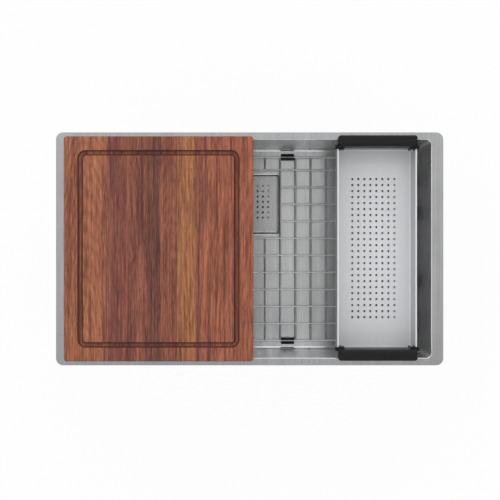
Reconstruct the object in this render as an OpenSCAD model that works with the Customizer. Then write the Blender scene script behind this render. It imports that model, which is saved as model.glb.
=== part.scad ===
// Workstation kitchen sink: a folded steel bowl with a drain, and the pieces that work over it,
// a bottom grid, a square drain cover, a hanging colander and a cutting board.
// The origin is the middle of the bowl's opening, in the plane of the flange's underside.
// +X is to the right, +Y to the rear and +Z up. Lengths are millimetres.

/* [Flange and bowl] */
// Width of the flange
flange_w = 813; // [800:1:860]
// Length of the flange, front to rear
flange_l = 489; // [480:1:540]
// Radius of the flange's outer corners
flange_r = 15; // [5:1:40]
// Width of the bowl's opening
bowl_w = 762; // [740:1:780]
// Length of the bowl's opening, front to rear
bowl_l = 457; // [450:1:464]
// Depth of the bowl, from the flange to the floor
bowl_depth = 254; // [220:1:280]
// Radius of the bowl's upright corners
bowl_r = 10; // [8:0.5:25]
// Thickness of the steel sheet
sheet_t = 1.5; // [1:0.1:1.8]
// Radius of the fold between flange and wall
lip_r = 2; // [1.9:0.1:2.5]
// Radius of the fold at the foot of the walls
foot_r = 6; // [3:0.5:7.5]

/* [Sound pads] */
// Thickness of the rubber pads glued under and round the bowl
pad_t = 3; // [2:0.5:6]
// Corner radius of a pad
pad_r = 15; // [5:1:30]
// Bare steel left round each pad
pad_margin = 35; // [20:1:60]

/* [Drain] */
// Distance of the drain from the middle of the bowl, to the rear
drain_y = 102; // [80:1:120]
// Side of the square recess pressed in the floor
recess_w = 135; // [132:1:150]
// Depth of that recess
recess_depth = 8; // [7:0.5:14]
// Corner radius of the recess
recess_r = 8; // [5:0.5:14]
// Fold radius at the foot of the recess
recess_foot_r = 2; // [1.5:0.5:4]
// Diameter of the drain hole
drain_hole_d = 90; // [89:0.5:92]
// Diameter of the strainer's top flange
strainer_flange_d = 114; // [106:1:116]
// Length of the strainer's cup below the recess
strainer_depth = 42; // [38:1:60]
// Wall of the strainer's cup
strainer_wall = 2.5; // [1.5:0.5:4]
// Outer diameter of the strainer's outlet
outlet_d = 47; // [44:0.5:50]
// Length of the outlet below the cup
outlet_len = 22; // [18:1:40]
// Outer diameter of the tailpiece
tailpiece_d = 38.1; // [36:0.1:39]
// Wall of the tailpiece
tailpiece_wall = 1.25; // [1:0.05:2]
// Length of the tailpiece
tailpiece_len = 102; // [60:1:200]

/* [Drain cover] */
// Side of the square drain cover
cover_w = 127; // [120:0.5:129]
// Corner radius of the cover
cover_r = 3.5; // [2.5:0.5:12]
// Thickness of the cover's sheet
cover_t = 1.5; // [1:0.1:1.8]
// Depth of the edge folded down round the cover
cover_drop = 4; // [3:0.5:6]
// Holes along each side of the cover
cover_holes = 8; // [4:1:9]
// Distance between the cover's holes
cover_pitch = 12.1; // [8:0.1:13]
// Diameter of a hole in the cover
cover_hole_d = 5; // [3:0.1:7]
// Holes left out at the right end of the cover's front row
cover_plain = 3; // [0:1:4]

/* [Bottom grid] */
// Diameter of the grid's rim wire
rim_d = 5; // [4:0.5:7]
// Diameter of the grid's inner wires
wire_d = 4; // [3:0.5:5]
// Distance between the wires that run left to right
long_pitch = 38.9; // [30:0.1:45]
// Distance between the wires that run front to rear
cross_pitch = 34.8; // [32:0.1:40]
// Gap from the rim's centre line to the side walls
grid_side_gap = 16.5; // [12:0.5:24]
// Gap from the rim's centre line to the front and rear walls
grid_end_gap = 19.6; // [12:0.1:26]
// Height of the rim above the floor
grid_lift = 9; // [7:0.5:20]
// Corner radius of the rim, on its centre line
grid_r = 25; // [15:1:50]
// Diameter of the rubber bumpers on the rim
bumper_d = 13; // [10:0.5:16]
// Length of a bumper
bumper_len = 28; // [20:1:29]

/* [Colander] */
// Width of the colander over its rim beads
colander_w = 167.5; // [150:0.5:190]
// Depth of the colander
colander_depth = 88; // [60:1:120]
// Thickness of the colander's sheet
colander_t = 1; // [0.8:0.1:1.5]
// Diameter of the bead rolled along the colander's rim
bead_d = 3.5; // [3:0.1:5]
// Gap from the colander's rim to the bowl's right wall
colander_gap = 29.5; // [20:0.5:60]
// Gap from the colander's rim to the bowl's front and rear walls, where it is centred
colander_end_gap = 11.5; // [8:0.5:20]
// How far the colander sits to the rear of centre
colander_y = 1.7; // [-2:0.1:2]
// Holes across the colander's floor
colander_cols = 8; // [4:1:10]
// Holes along the colander's floor
colander_rows = 24; // [10:1:28]
// Distance between those holes
colander_pitch = 13; // [9:0.5:14]
// Diameter of a hole in the colander
colander_hole_d = 5; // [3:0.1:7]
// Height of a handle above the flange
handle_h = 18; // [10:0.5:30]
// How far a handle reaches past the bowl's edge, over the flange
handle_reach = 7.1; // [5:0.1:10]

/* [Cutting board] */
// Width of the board, left to right
board_w = 394; // [300:1:420]
// Thickness of the board
board_t = 30; // [20:1:45]
// How far the board reaches past the bowl's edges, over the flange
board_reach = 5.4; // [4:0.1:8]
// Corner radius of the board
board_r = 6; // [4:0.5:20]
// Radius of the board's rounded edges
board_edge_r = 2.5; // [1:0.5:3.5]
// Distance from the board's edge to its juice groove
groove_inset = 28.7; // [20:0.1:40]
// Width of the juice groove
groove_w = 11.4; // [8:0.1:14]
// Depth of the juice groove
groove_depth = 4.5; // [3:0.1:5.5]
// Outer corner radius of the juice groove
groove_r = 17; // [14:0.5:30]
// Depth of the tongue under the board that drops into the bowl
tongue_t = 8; // [4:0.5:15]

/* [Hidden] */
$fn = 64;
eps = 0.01;
// Overlap of two shapes that make one solid
lap = 1;
// Clearance between pieces that slide or lift past each other
slide_gap = 0.35;
// Clearance left between pieces that are glued, threaded or welded together
joint_gap = 0.05;

// Heights here and in the modules are measured from the flange's top face; from_top() puts them
// one sheet's thickness above the origin.
// Levels of the drain, from the recess's floor downwards
recess_z = -bowl_depth - recess_depth;
seal_t = 1;
strainer_flange_t = 2;
strainer_top = recess_z + seal_t + strainer_flange_t;
shank_r = drain_hole_d / 2 - 1;
throat_r = shank_r - strainer_wall;
dish_drop = 6;
dish_r = 27;
outlet_wall = 4.5;
outlet_bore_r = outlet_d / 2 - outlet_wall;
dish_z = recess_z - strainer_depth - dish_drop + 4;
outlet_z = dish_z - outlet_len;
washer_t = 3;
friction_t = 1;
nut_h = 12;
washer_r = strainer_flange_d / 2 - 1;
washer_z = recess_z - sheet_t - washer_t;
friction_z = washer_z - friction_t;
nut_z = friction_z - nut_h;
tail_washer_t = 2;
tail_flange_t = 1.5;
coupling_reach = 13;
coupling_wall = 7;
coupling_gap = 1.05;
tail_top = outlet_z - tail_washer_t;
tail_r = tailpiece_d / 2;

// The basket's seat and knob
spider_t = 3;
spider_z = dish_z - 8;
hub_r = 6;
post_r = 2.8;
stopper_t = 4;
stopper_z = dish_z + slide_gap;
cup_floor_z = stopper_z + stopper_t;
cup_t = 0.8;
cup_top_z = recess_z - 4;
cup_top_r = throat_r - 0.6;
cup_bottom_r = throat_r - 7.5;
knob_r = 10;
knob_h = 6;
knob_top_z = recess_z - 3;
basket_slots = 18;
slot_w = 3;
slot_h = 14;
cup_hole_d = 4;
cup_inner_ring_r = 13;
cup_outer_ring_r = cup_bottom_r - 7;

// The cover
cover_top_z = -bowl_depth;
cover_fold_r = cover_t + 0.5;
cover_foot_d = 9;
cover_foot_at = cover_w / 2 - 8.5;

// The grid: centre lines of its rim and wires
grid_x = bowl_w / 2 - grid_side_gap;
grid_y = bowl_l / 2 - grid_end_gap;
rim_z = -bowl_depth + grid_lift + rim_d / 2;
cross_z = rim_z + rim_d / 2 - wire_d / 2;
long_z = rim_z + rim_d / 2 + wire_d / 2 + joint_gap;
cut_half = cover_w / 2 + 3;
long_count = floor((2 * grid_y - 12) / long_pitch);
cross_count = floor((grid_x - 10) / cross_pitch);
cut_col = ceil(cut_half / cross_pitch);
cut_low = floor((drain_y - cut_half + grid_y) / long_pitch);
cut_high = ceil((drain_y + cut_half + grid_y) / long_pitch);
leg_d = 6;
leg_inset = 59;
leg_at = [
    [-grid_x, leg_inset - grid_y], [-grid_x, grid_y - leg_inset], [0, -grid_y],
    [0, grid_y], [grid_x, leg_inset - grid_y], [grid_x, grid_y - leg_inset]
];
foot_d = 14;
foot_sole = 4;
bumper_slot = 2.6;
bumper_col = 2.5 * cross_pitch;
bumper_rows = [3, 7];

// The colander: half sizes of its inner walls, and its handles
colander_x = bowl_w / 2 - colander_gap - colander_w / 2;
bead_out = bead_d / 2 - colander_t / 2;
tray_w = colander_w - 2 * bead_out - 2 * colander_t;
tray_l = bowl_l - 2 * colander_end_gap - 2 * bead_out - 2 * colander_t;
tray_r = 4;
tray_foot_r = 3.5;
handle_w = colander_w - 2.5;
handle_r = 6;
handle_edge_r = 3;
handle_out_y = bowl_l / 2 + handle_reach;
handle_in_y = tray_l / 2 - 4.8;
handle_lip_z = -3.5;
handle_hook_y = tray_l / 2 + colander_t + bead_out + 2.5;
chamfer_w = 4.7;
chamfer_h = 5;
lip_slope = 2.7;
lug_w = 12;
lug_l = 7.5;
lug_z = -40;
lug_top_z = 4;
leg_out_z = -22;
ear_w = 5.5;
ear_l = 8;
ear_z = -10;
ear_top_z = 4;
screw_x = tray_w / 2 - 7.5;
screw_z = -14;
screw_d = 3;
screw_head_d = 5.5;
screw_head_t = 1.8;
window_d = 4;

// The board
board_l = bowl_l + 2 * board_reach;
board_x = -bowl_w / 2 - board_reach + board_w / 2;
tongue_gap = 1.2;
tongue_r = bowl_r;
groove_bow_r = (pow(groove_w / 2, 2) + pow(groove_depth, 2)) / (2 * groove_depth);

// ---------------------------------------------------------------- shared shapes

// A plan outline with rounded corners
module rounded_rect(w, l, r) {
    square([w - 2 * r, l], center = true);
    square([w, l - 2 * r], center = true);
    for (sx = [-1, 1], sy = [-1, 1])
        translate([sx * (w / 2 - r), sy * (l / 2 - r)])
            circle(r = r);
}

// A flat plate with rounded corners, standing on height z
module rounded_plate(w, l, r, t, z = 0) {
    translate([0, 0, z])
        linear_extrude(t)
            rounded_rect(w, l, r);
}

// Carries a section round a rounded rectangle: its x is the distance outwards, its y the height
module sweep_round(w, l, r) {
    for (side = [0, 1]) {
        mirror([0, side, 0])
            translate([0, l / 2, 0])
                rotate([90, 0, 90])
                    linear_extrude(w - 2 * r, center = true)
                        children();
        mirror([side, 0, 0])
            translate([w / 2, 0, 0])
                rotate([90, 0, 0])
                    linear_extrude(l - 2 * r, center = true)
                        children();
    }
    for (sx = [0, 1], sy = [0, 1])
        mirror([sx, 0, 0])
            mirror([0, sy, 0])
                translate([w / 2 - r, l / 2 - r, 0])
                    rotate_extrude(angle = 90)
                        translate([r, 0])
                            children();
}

// A quarter of a ring in one of the four quadrants, [1, 1] being the first
module quarter_ring(r_in, r_out, quadrant) {
    intersection() {
        difference() {
            circle(r = r_out);
            circle(r = r_in);
        }
        scale([quadrant[0], quadrant[1]])
            square(r_out + 1);
    }
}

// The section of a wall folded down from a flange and in again at its foot
module wall_section(depth, t, top_r, bottom_r) {
    translate([0, bottom_r - depth])
        square([t, depth - top_r - bottom_r]);
    translate([top_r, -top_r])
        quarter_ring(top_r - t, top_r, [-1, 1]);
    translate([-bottom_r, bottom_r - depth])
        quarter_ring(bottom_r, bottom_r + t, [1, -1]);
}

// A ring standing on height z
module ring(r_in, r_out, h, z = 0) {
    translate([0, 0, z])
        difference() {
            cylinder(r = r_out, h = h);
            translate([0, 0, -1])
                cylinder(r = r_in, h = h + 2);
        }
}

// A rod along X or along Y, between two places
module rod_x(d, x0, x1, y, z) {
    translate([x0, y, z])
        rotate([0, 90, 0])
            cylinder(d = d, h = x1 - x0);
}

module rod_y(d, y0, y1, x, z) {
    translate([x, y0, z])
        rotate([-90, 0, 0])
            cylinder(d = d, h = y1 - y0);
}

// Carries heights measured from the flange's top face to the origin in its underside
module from_top() {
    translate([0, 0, sheet_t])
        children();
}

module at_drain() {
    from_top()
        translate([0, drain_y, 0])
            children();
}

// ---------------------------------------------------------------- bowl and pads

module bowl() {
    color("silver") {
        linear_extrude(sheet_t)
            difference() {
                rounded_rect(flange_w, flange_l, flange_r);
                rounded_rect(bowl_w + 2 * lip_r, bowl_l + 2 * lip_r, bowl_r + lip_r);
            }
        from_top() {
            sweep_round(bowl_w, bowl_l, bowl_r)
                wall_section(bowl_depth, sheet_t, lip_r, foot_r);
            translate([0, 0, -bowl_depth - sheet_t])
                linear_extrude(sheet_t)
                    difference() {
                        rounded_rect(bowl_w - 2 * foot_r, bowl_l - 2 * foot_r, bowl_r - foot_r);
                        translate([0, drain_y])
                            rounded_rect(recess_w + 2 * lip_r, recess_w + 2 * lip_r, recess_r + lip_r);
                    }
        }
        at_drain()
            drain_recess();
    }
}

module drain_recess() {
    recess_flat = recess_w - 2 * recess_foot_r;
    translate([0, 0, -bowl_depth])
        sweep_round(recess_w, recess_w, recess_r)
            wall_section(recess_depth, sheet_t, lip_r, recess_foot_r);
    translate([0, 0, recess_z - sheet_t])
        linear_extrude(sheet_t)
            difference() {
                rounded_rect(recess_flat, recess_flat, recess_r - recess_foot_r);
                circle(d = drain_hole_d);
            }
}

module pad(w, l) {
    color("dimgray")
        linear_extrude(pad_t)
            rounded_rect(w, l, pad_r);
}

// Pads under the floor, beside the drain
module pad_bottom(side) {
    inner = recess_w / 2 + pad_margin;
    outer = bowl_w / 2 - pad_margin;
    from_top()
        translate([side * (inner + outer) / 2, 0, -bowl_depth - sheet_t - pad_t])
            pad(outer - inner, bowl_l - 2 * pad_margin);
}

// Pads on the front and rear walls
module pad_end(side) {
    from_top()
        translate([0, side * (bowl_l / 2 + sheet_t), -bowl_depth / 2])
            rotate([-side * 90, 0, 0])
                pad(bowl_w - 2 * pad_margin, bowl_depth - 2 * pad_margin);
}

// Pads on the left and right walls
module pad_side(side) {
    from_top()
        translate([side * (bowl_w / 2 + sheet_t), 0, -bowl_depth / 2])
            rotate([0, side * 90, 0])
                pad(bowl_depth - 2 * pad_margin, bowl_l - 2 * pad_margin);
}

// ---------------------------------------------------------------- drain fittings

// The cup that hangs in the drain hole, with a cross of bars in its outlet
module strainer_body() {
    flange_r_out = strainer_flange_d / 2;
    flange_z = recess_z + seal_t;
    color("silver")
        at_drain()
            difference() {
                union() {
                    rotate_extrude()
                        polygon([
                            [flange_r_out, flange_z], [flange_r_out, flange_z + 1],
                            [flange_r_out - 3, strainer_top], [throat_r + 1.5, strainer_top],
                            [throat_r, strainer_top - 1.5], [throat_r, dish_z + dish_drop],
                            [dish_r, dish_z], [outlet_bore_r, dish_z], [outlet_bore_r, outlet_z],
                            [outlet_d / 2, outlet_z], [outlet_d / 2, dish_z - 3], [dish_r + 1, dish_z - 3],
                            [shank_r, dish_z + dish_drop - 2.3], [shank_r, flange_z]
                        ]);
                    for (turn = [0, 90])
                        rotate([0, 0, turn])
                            translate([-outlet_bore_r - 1, -1.5, spider_z])
                                cube([2 * outlet_bore_r + 2, 3, spider_t]);
                    translate([0, 0, spider_z])
                        cylinder(r = hub_r, h = spider_t);
                }
                translate([0, 0, spider_z - 1])
                    cylinder(r = post_r + slide_gap, h = spider_t + 2);
            }
}

module sealing_ring() {
    color("dimgray")
        at_drain()
            ring(shank_r + 1.5, washer_r, seal_t, recess_z);
}

module rubber_washer() {
    color("black")
        at_drain()
            ring(shank_r + joint_gap, washer_r, washer_t, washer_z);
}

module friction_ring() {
    color("tan")
        at_drain()
            ring(shank_r + joint_gap, washer_r - 1, friction_t, friction_z);
}

// The big nut that pulls the strainer down, with lugs to turn it by
module lock_nut() {
    nut_r = shank_r + 6;
    color("gainsboro")
        at_drain()
            translate([0, 0, nut_z])
                difference() {
                    union() {
                        cylinder(r = nut_r, h = nut_h);
                        for (i = [0:5])
                            rotate([0, 0, 60 * i])
                                translate([nut_r - 1, -5, 0])
                                    cube([4, 10, nut_h]);
                    }
                    translate([0, 0, -1])
                        cylinder(r = shank_r + joint_gap, h = nut_h + 2);
                }
}

module tailpiece_washer() {
    color("white")
        at_drain()
            ring(tail_r - tailpiece_wall, outlet_d / 2 - 0.5, tail_washer_t, tail_top);
}

// The tube that leads to the trap, with the flange that its nut holds
module tailpiece() {
    bore_r = tail_r - tailpiece_wall;
    color("silver")
        at_drain() {
            ring(bore_r, outlet_d / 2 - 1, tail_flange_t, tail_top - tail_flange_t);
            ring(bore_r, tail_r, tailpiece_len - tail_flange_t, tail_top - tailpiece_len);
        }
}

// The eight-sided nut that clamps the tailpiece to the outlet
module coupling_nut() {
    lip_t = 2.5;
    nut_top = outlet_z + coupling_reach;
    nut_bottom = tail_top - tail_flange_t - lip_t;
    color("gainsboro")
        at_drain()
            difference() {
                translate([0, 0, nut_bottom])
                    cylinder(r = outlet_d / 2 + coupling_wall, h = nut_top - nut_bottom, $fn = 8);
                translate([0, 0, nut_bottom + lip_t])
                    cylinder(r = outlet_d / 2 + joint_gap, h = nut_top - nut_bottom);
                translate([0, 0, nut_bottom - 1])
                    cylinder(r = tail_r + coupling_gap, h = lip_t + 2);
            }
}

// ---------------------------------------------------------------- strainer basket

// A pressed cup with slots in its wall and round holes in its floor
module basket_cup() {
    slot_z = (cup_top_z + cup_floor_z) / 2;
    color("silver")
        at_drain()
            difference() {
                rotate_extrude()
                    polygon([
                        [0, cup_floor_z], [cup_bottom_r, cup_floor_z], [cup_top_r - 3, cup_top_z - 4],
                        [cup_top_r, cup_top_z - 2], [cup_top_r, cup_top_z], [cup_top_r - cup_t, cup_top_z],
                        [cup_top_r - cup_t, cup_top_z - 1.6], [cup_top_r - 3 - cup_t, cup_top_z - 3.6],
                        [cup_bottom_r - cup_t, cup_floor_z + cup_t], [0, cup_floor_z + cup_t]
                    ]);
                for (i = [0:basket_slots - 1])
                    rotate([0, 0, i * 360 / basket_slots])
                        translate([cup_outer_ring_r, -slot_w / 2, slot_z - slot_h / 2])
                            cube([cup_top_r - cup_outer_ring_r, slot_w, slot_h]);
                for (i = [0:11])
                    rotate([0, 0, i * 30])
                        translate([cup_outer_ring_r, 0, cup_floor_z - 1])
                            cylinder(d = cup_hole_d, h = cup_t + 2);
                for (i = [0:5])
                    rotate([0, 0, i * 60])
                        translate([cup_inner_ring_r, 0, cup_floor_z - 1])
                            cylinder(d = cup_hole_d, h = cup_t + 2);
                translate([0, 0, cup_floor_z - 1])
                    cylinder(r = post_r + joint_gap, h = cup_t + 2);
            }
}

// The rubber disc under the cup that closes the outlet
module basket_stopper() {
    color("black")
        at_drain()
            difference() {
                translate([0, 0, stopper_z])
                    cylinder(r1 = dish_r - 4, r2 = dish_r - 2, h = stopper_t);
                translate([0, 0, stopper_z - 1])
                    cylinder(r = post_r + joint_gap, h = stopper_t + 2);
            }
}

// The turned post through the cup, with its knob, its collar and its rounded tip
module basket_post() {
    collar_z = cup_floor_z + cup_t;
    tip_z = spider_z - 9;
    color("silver")
        at_drain()
            rotate_extrude()
                polygon([
                    [0, tip_z], [post_r - 1, tip_z], [post_r, tip_z + 1.5], [post_r, collar_z],
                    [post_r + 3, collar_z], [post_r + 3, collar_z + 2], [post_r, collar_z + 3],
                    [post_r, knob_top_z - knob_h], [knob_r - 3, knob_top_z - knob_h + 1],
                    [knob_r, knob_top_z - knob_h / 2], [knob_r, knob_top_z - 1.5],
                    [knob_r - 1.5, knob_top_z], [0, knob_top_z]
                ]);
}

// ---------------------------------------------------------------- drain cover

module cover_plate() {
    flat = cover_w - 2 * cover_fold_r;
    color("silver")
        at_drain()
            translate([0, 0, cover_top_z])
                difference() {
                    union() {
                        rounded_plate(flat, flat, cover_r - cover_fold_r + eps, cover_t, -cover_t);
                        sweep_round(cover_w, cover_w, cover_r)
                            fold_section();
                    }
                    cover_perforation();
                }
}

// The rounded edge that turns down round the cover
module fold_section() {
    translate([-cover_fold_r, -cover_fold_r])
        quarter_ring(cover_fold_r - cover_t, cover_fold_r, [1, 1]);
    translate([-cover_t, -cover_drop])
        square([cover_t, cover_drop - cover_fold_r]);
}

module cover_perforation() {
    middle = (cover_holes - 1) / 2;
    for (i = [0:cover_holes - 1], j = [0:cover_holes - 1])
        if (j > 0 || i < cover_holes - cover_plain)
            translate([(i - middle) * cover_pitch, (j - middle) * cover_pitch, -cover_t - 1])
                cylinder(d = cover_hole_d, h = cover_t + 2);
}

// Rubber feet under the cover's corners, which stand in the recess
module cover_feet() {
    color("black")
        at_drain()
            for (sx = [-1, 1], sy = [-1, 1])
                translate([sx * cover_foot_at, sy * cover_foot_at, recess_z])
                    cylinder(d = cover_foot_d, h = cover_top_z - cover_t - recess_z);
}

// ---------------------------------------------------------------- bottom grid

function long_y(k) = k * long_pitch - grid_y;

// Where a cross wire at x meets the inside of the rim, also in the rim's rounded corners
function rim_inside_y(x) =
    grid_y - grid_r + sqrt(
        pow(grid_r - rim_d / 2 - joint_gap, 2)
        - pow(max(abs(x) + wire_d / 2 - grid_x + grid_r, 0), 2)
    );

module grid_frame() {
    color("silver")
        from_top()
            translate([0, 0, rim_z])
                sweep_round(2 * grid_x, 2 * grid_y, grid_r)
                    circle(d = rim_d);
}

// Wires from left to right, laid over the rim and stopped at the sides of the drain opening
module grid_long_wires() {
    stop_x = cut_col * cross_pitch;
    color("silver")
        from_top() for (k = [1:long_count])
            if (k > cut_low && k < cut_high) {
                rod_x(wire_d, -grid_x, -stop_x, long_y(k), long_z);
                rod_x(wire_d, stop_x, grid_x, long_y(k), long_z);
            } else {
                rod_x(wire_d, -grid_x, grid_x, long_y(k), long_z);
            }
}

// Wires from front to rear, inside the rim and under the long ones
module grid_cross_wires() {
    color("silver")
        from_top() for (k = [-cross_count:cross_count]) {
            x = k * cross_pitch;
            end_y = rim_inside_y(x);
            if (abs(k) < cut_col) {
                rod_y(wire_d, -end_y, long_y(cut_low), x, cross_z);
                rod_y(wire_d, long_y(cut_high), end_y, x, cross_z);
            } else {
                rod_y(wire_d, -end_y, end_y, x, cross_z);
            }
        }
}

module grid_legs() {
    leg_top = rim_z - rim_d / 2 - joint_gap;
    leg_bottom = -bowl_depth + foot_sole;
    color("silver")
        from_top() for (p = leg_at)
            translate([p[0], p[1], leg_bottom])
                cylinder(d = leg_d, h = leg_top - leg_bottom);
}

// Rubber cups on the legs
module grid_feet() {
    foot_h = grid_lift - 0.5;
    color("black")
        from_top() for (p = leg_at)
            translate([p[0], p[1], -bowl_depth])
                difference() {
                    cylinder(d = foot_d, h = foot_h);
                    translate([0, 0, foot_sole])
                        cylinder(d = leg_d + 2 * joint_gap, h = foot_h);
                }
}

// A rubber sleeve on the rim wire, split along its top so that it clips on
module bumper() {
    color("black")
        difference() {
            rod_x(bumper_d, -bumper_len / 2, bumper_len / 2, 0, 0);
            rod_x(rim_d + 2 * joint_gap, -bumper_len / 2 - 1, bumper_len / 2 + 1, 0, 0);
            translate([-bumper_len / 2 - 1, -bumper_slot / 2, 0])
                cube([bumper_len + 2, bumper_slot, bumper_d]);
        }
}

module bumpers_end(side) {
    from_top() for (sx = [-1, 1])
        translate([sx * bumper_col, side * grid_y, rim_z])
            bumper();
}

// Bumpers on the rim's sides, each halfway between two long wires
module bumpers_sides() {
    from_top() for (sx = [-1, 1], k = bumper_rows)
        translate([sx * grid_x, long_y(k + 0.5), rim_z])
            rotate([0, 0, 90])
                bumper();
}

// ---------------------------------------------------------------- colander

module at_colander() {
    from_top()
        translate([colander_x, colander_y, 0])
            children();
}

module colander_tray() {
    flat_w = tray_w - 2 * tray_foot_r;
    flat_l = tray_l - 2 * tray_foot_r;
    color("silver")
        at_colander()
            difference() {
                union() {
                    sweep_round(tray_w, tray_l, tray_r)
                        tray_section();
                    rounded_plate(flat_w, flat_l, tray_r - tray_foot_r, colander_t,
                                  -colander_depth - colander_t);
                }
                colander_perforation();
                colander_screw_places()
                    rod_y(screw_d + 0.4, -lug_l, lug_l, 0, 0);
            }
}

// Wall, bead and foot of the tray
module tray_section() {
    translate([0, tray_foot_r - colander_depth])
        square([colander_t, colander_depth - tray_foot_r - bead_d / 2]);
    translate([colander_t / 2, -bead_d / 2])
        circle(d = bead_d);
    translate([-tray_foot_r, tray_foot_r - colander_depth])
        quarter_ring(tray_foot_r, tray_foot_r + colander_t, [1, -1]);
}

module colander_perforation() {
    for (i = [0:colander_cols - 1], j = [0:colander_rows - 1])
        translate([
            (i - (colander_cols - 1) / 2) * colander_pitch,
            (j - (colander_rows - 1) / 2) * colander_pitch,
            -colander_depth - colander_t - 1
        ])
            cylinder(d = colander_hole_d, h = colander_t + 2);
}

// Where the screws cross the tray's end walls
module colander_screw_places() {
    for (sx = [-1, 1], sy = [0, 1])
        mirror([0, sy, 0])
            translate([sx * screw_x, tray_l / 2, screw_z])
                children();
}

// One handle: a bar over the flange, with lugs, legs and ears that grip the end of the tray
module handle(side) {
    color([0.16, 0.16, 0.17])
        at_colander()
            mirror([0, side < 0 ? 1 : 0, 0])
                difference() {
                    union() {
                        handle_bar();
                        for (sx = [0, 1])
                            mirror([sx, 0, 0])
                                handle_grips();
                    }
                    translate([0, 0, -colander_depth])
                        sweep_round(tray_w, tray_l, tray_r)
                            rim_clearance();
                    for (sx = [-1, 1])
                        translate([sx * (tray_w / 2 - 0.7), tray_l / 2 + 0.4, -1])
                            cylinder(d = window_d, h = handle_h + 2);
                    for (sx = [-1, 1])
                        rod_y(screw_d + 2 * joint_gap, handle_in_y - lug_l, handle_hook_y + 2.2,
                              sx * screw_x, screw_z);
                }
}

// The room that the tray's wall and bead need inside a handle
module rim_clearance() {
    translate([-slide_gap, 0])
        square([colander_t + 2 * slide_gap, colander_depth]);
    translate([colander_t / 2 - bead_d / 2 - slide_gap, colander_depth - bead_d - slide_gap])
        square([bead_d + 2 * slide_gap, bead_d + 2 * slide_gap]);
}

// The bar, cut to its plan outline, with rounded outer corners
module handle_bar() {
    intersection() {
        rotate([90, 0, 90])
            linear_extrude(handle_w, center = true)
                handle_section();
        translate([0, 0, handle_lip_z - 1])
            linear_extrude(handle_h - handle_lip_z + 2)
                union() {
                    translate([0, handle_out_y / 2])
                        square([handle_w - 2 * handle_r, handle_out_y], center = true);
                    translate([0, (handle_out_y - handle_r) / 2])
                        square([handle_w, handle_out_y - handle_r], center = true);
                    for (sx = [-1, 1])
                        translate([sx * (handle_w / 2 - handle_r), handle_out_y - handle_r])
                            circle(r = handle_r);
                }
    }
}

// Front-to-rear section of the bar, seen along X
module handle_section() {
    lip_y = handle_in_y + lip_slope;
    polygon([
        [handle_in_y, handle_lip_z], [handle_hook_y, handle_lip_z], [handle_hook_y, 0],
        [handle_out_y - 1, 0], [handle_out_y, 1], [handle_out_y, handle_h - handle_edge_r],
        [handle_out_y - handle_edge_r, handle_h - handle_edge_r],
        [handle_out_y - handle_edge_r, handle_h],
        [lip_y + chamfer_w, handle_h], [lip_y, handle_h - chamfer_h]
    ]);
    translate([handle_out_y - handle_edge_r, handle_h - handle_edge_r])
        circle(r = handle_edge_r);
}

// At one end of a handle: a lug inside the tray, a leg behind it and an ear round its side
module handle_grips() {
    lug_x0 = tray_w / 2 - slide_gap - lug_w;
    lug_y1 = tray_l / 2 - slide_gap;
    ear_y = handle_in_y - 2;
    translate([lug_x0, lug_y1 - lug_l, lug_z])
        cube([lug_w, lug_l, lug_top_z - lug_z]);
    translate([lug_x0, tray_l / 2 + colander_t + slide_gap, leg_out_z])
        cube([lug_w, handle_hook_y - tray_l / 2 - colander_t - slide_gap, lug_top_z - leg_out_z]);
    translate([tray_w / 2 + colander_t, ear_y, ear_z])
        cube([ear_w, ear_l, ear_top_z - ear_z]);
    translate([handle_w / 2 - 4, ear_y, slide_gap])
        cube([tray_w / 2 + colander_t + ear_w - handle_w / 2 + 4, ear_l, ear_top_z - slide_gap]);
}

// Four round-headed screws, put in from inside the tray
module colander_screws() {
    color("gainsboro")
        at_colander()
            colander_screw_places()
                colander_screw();
}

module colander_screw() {
    head_y = -slide_gap - lug_l;
    shank_len = lug_l + slide_gap + handle_hook_y - tray_l / 2 - 0.5;
    rod_y(screw_d, head_y, head_y + shank_len, 0, 0);
    rod_y(screw_head_d, head_y - screw_head_t, head_y, 0, 0);
}

// ---------------------------------------------------------------- cutting board

module cutting_board() {
    ring_inset = 2 * (groove_inset + groove_w / 2);
    edge = 2 * board_edge_r;
    color([0.58, 0.38, 0.31])
        from_top() translate([board_x, 0, 0]) {
            difference() {
                union() {
                    rounded_plate(board_w - edge, board_l - edge, board_r - board_edge_r, board_t);
                    sweep_round(board_w - edge, board_l - edge, board_r - board_edge_r)
                        edge_section();
                }
                translate([0, 0, board_t - groove_depth + groove_bow_r])
                    sweep_round(board_w - ring_inset, board_l - ring_inset, groove_r - groove_w / 2)
                        circle(r = groove_bow_r);
            }
            board_tongue();
        }
}

// The board's edge, rounded at top and bottom, with the lap that joins it to the plate
module edge_section() {
    translate([-lap, 0])
        square([lap, board_t]);
    translate([0, board_edge_r])
        square([board_edge_r, board_t - 2 * board_edge_r]);
    translate([0, board_edge_r])
        quarter_ring(0, board_edge_r, [1, -1]);
    translate([0, board_t - board_edge_r])
        quarter_ring(0, board_edge_r, [1, 1]);
}

// The step under the board that keeps it between the bowl's walls
module board_tongue() {
    side_inset = board_reach + tongue_gap + 1;
    rounded_plate(board_w - 2 * side_inset, bowl_l - 2 * tongue_gap, tongue_r, tongue_t + lap, -tongue_t);
}

// ---------------------------------------------------------------- the parts

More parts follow.
